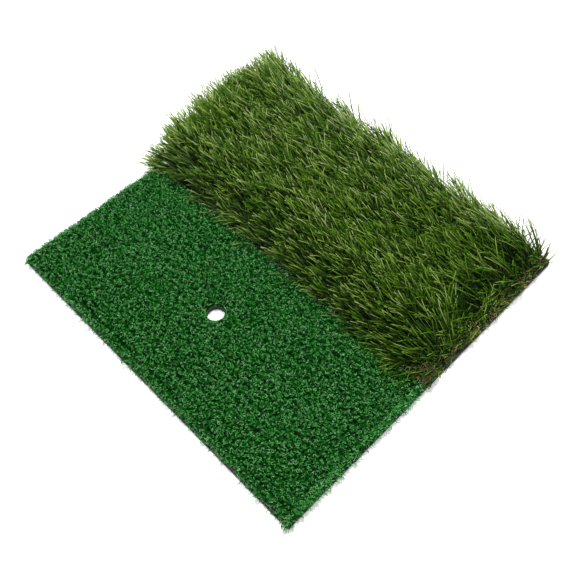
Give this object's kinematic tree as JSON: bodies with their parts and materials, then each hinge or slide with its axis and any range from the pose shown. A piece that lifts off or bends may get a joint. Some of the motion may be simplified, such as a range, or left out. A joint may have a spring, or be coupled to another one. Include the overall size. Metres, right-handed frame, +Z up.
{
  "type": "golf hitting mat",
  "caption": "Square golf practice mat: a foam base carrying a short curly fairway turf with a round tee hole beside a long, leaning rough turf with thatch at its roots.",
  "frame": {"origin": "centre of the base pad's underside", "axes": "+Z up through the turf; +X along the stitch rows of both strips; +Y from the fairway strip to the rough strip. The rough leans towards -X."},
  "size_m": [0.4474, 0.4064, 0.039],
  "materials": {
    "base_foam": "matt black closed-cell foam sheet, knife-cut edges",
    "glue": "thin cured contact-adhesive film",
    "latex": "matt latex back-coat, lightly pebbled",
    "woven_backing": "black plain-woven polypropylene tape, slightly shiny",
    "fairway_yarn": "texturised curly green tape yarn, soft sheen",
    "rough_yarn": "flat extruded grass blades in mixed olive, mid and bright greens, satin",
    "thatch_yarn": "curled tan, brown and olive root yarn, matt"
  },
  "bodies": {
    "root": {"base_pad": "base_foam", "fairway_glue_film": "glue", "rough_glue_film": "glue", "fairway_latex_coat": "latex", "rough_latex_coat": "latex", "fairway_woven_backing": "woven_backing", "rough_woven_backing": "woven_backing", "fairway_row_01": "fairway_yarn", "fairway_row_02": "fairway_yarn", "fairway_row_03": "fairway_yarn", "fairway_row_04": "fairway_yarn", "fairway_row_05": "fairway_yarn", "fairway_row_06": "fairway_yarn", "fairway_row_07": "fairway_yarn", "fairway_row_08": "fairway_yarn", "fairway_row_09": "fairway_yarn", "fairway_row_10": "fairway_yarn", "fairway_row_11": "fairway_yarn", "fairway_row_12_left": "fairway_yarn", "fairway_row_12_right": "fairway_yarn", "fairway_row_13_left": "fairway_yarn", "fairway_row_13_right": "fairway_yarn", "fairway_row_14_left": "fairway_yarn", "fairway_row_14_right": "fairway_yarn", "fairway_row_15": "fairway_yarn", "fairway_row_16": "fairway_yarn", "fairway_row_17": "fairway_yarn", "fairway_row_18": "fairway_yarn", "fairway_row_19": "fairway_yarn", "fairway_row_20": "fairway_yarn", "fairway_row_21": "fairway_yarn", "fairway_row_22": "fairway_yarn", "fairway_row_23": "fairway_yarn", "rough_row_01": "rough_yarn", "rough_row_02": "rough_yarn", "rough_row_03": "rough_yarn", "rough_row_04": "rough_yarn", "rough_row_05": "rough_yarn", "rough_row_06": "rough_yarn", "rough_row_07": "rough_yarn", "rough_row_08": "rough_yarn", "rough_row_09": "rough_yarn", "rough_row_10": "rough_yarn", "rough_row_11": "rough_yarn", "rough_row_12": "rough_yarn", "rough_row_13": "rough_yarn", "rough_row_14": "rough_yarn", "rough_row_15": "rough_yarn", "rough_row_16": "rough_yarn", "rough_row_17": "rough_yarn", "rough_row_18": "rough_yarn", "rough_row_19": "rough_yarn", "rough_row_20": "rough_yarn", "rough_row_21": "rough_yarn", "rough_row_22": "rough_yarn", "rough_thatch": "thatch_yarn"}
  },
  "joints": []
}
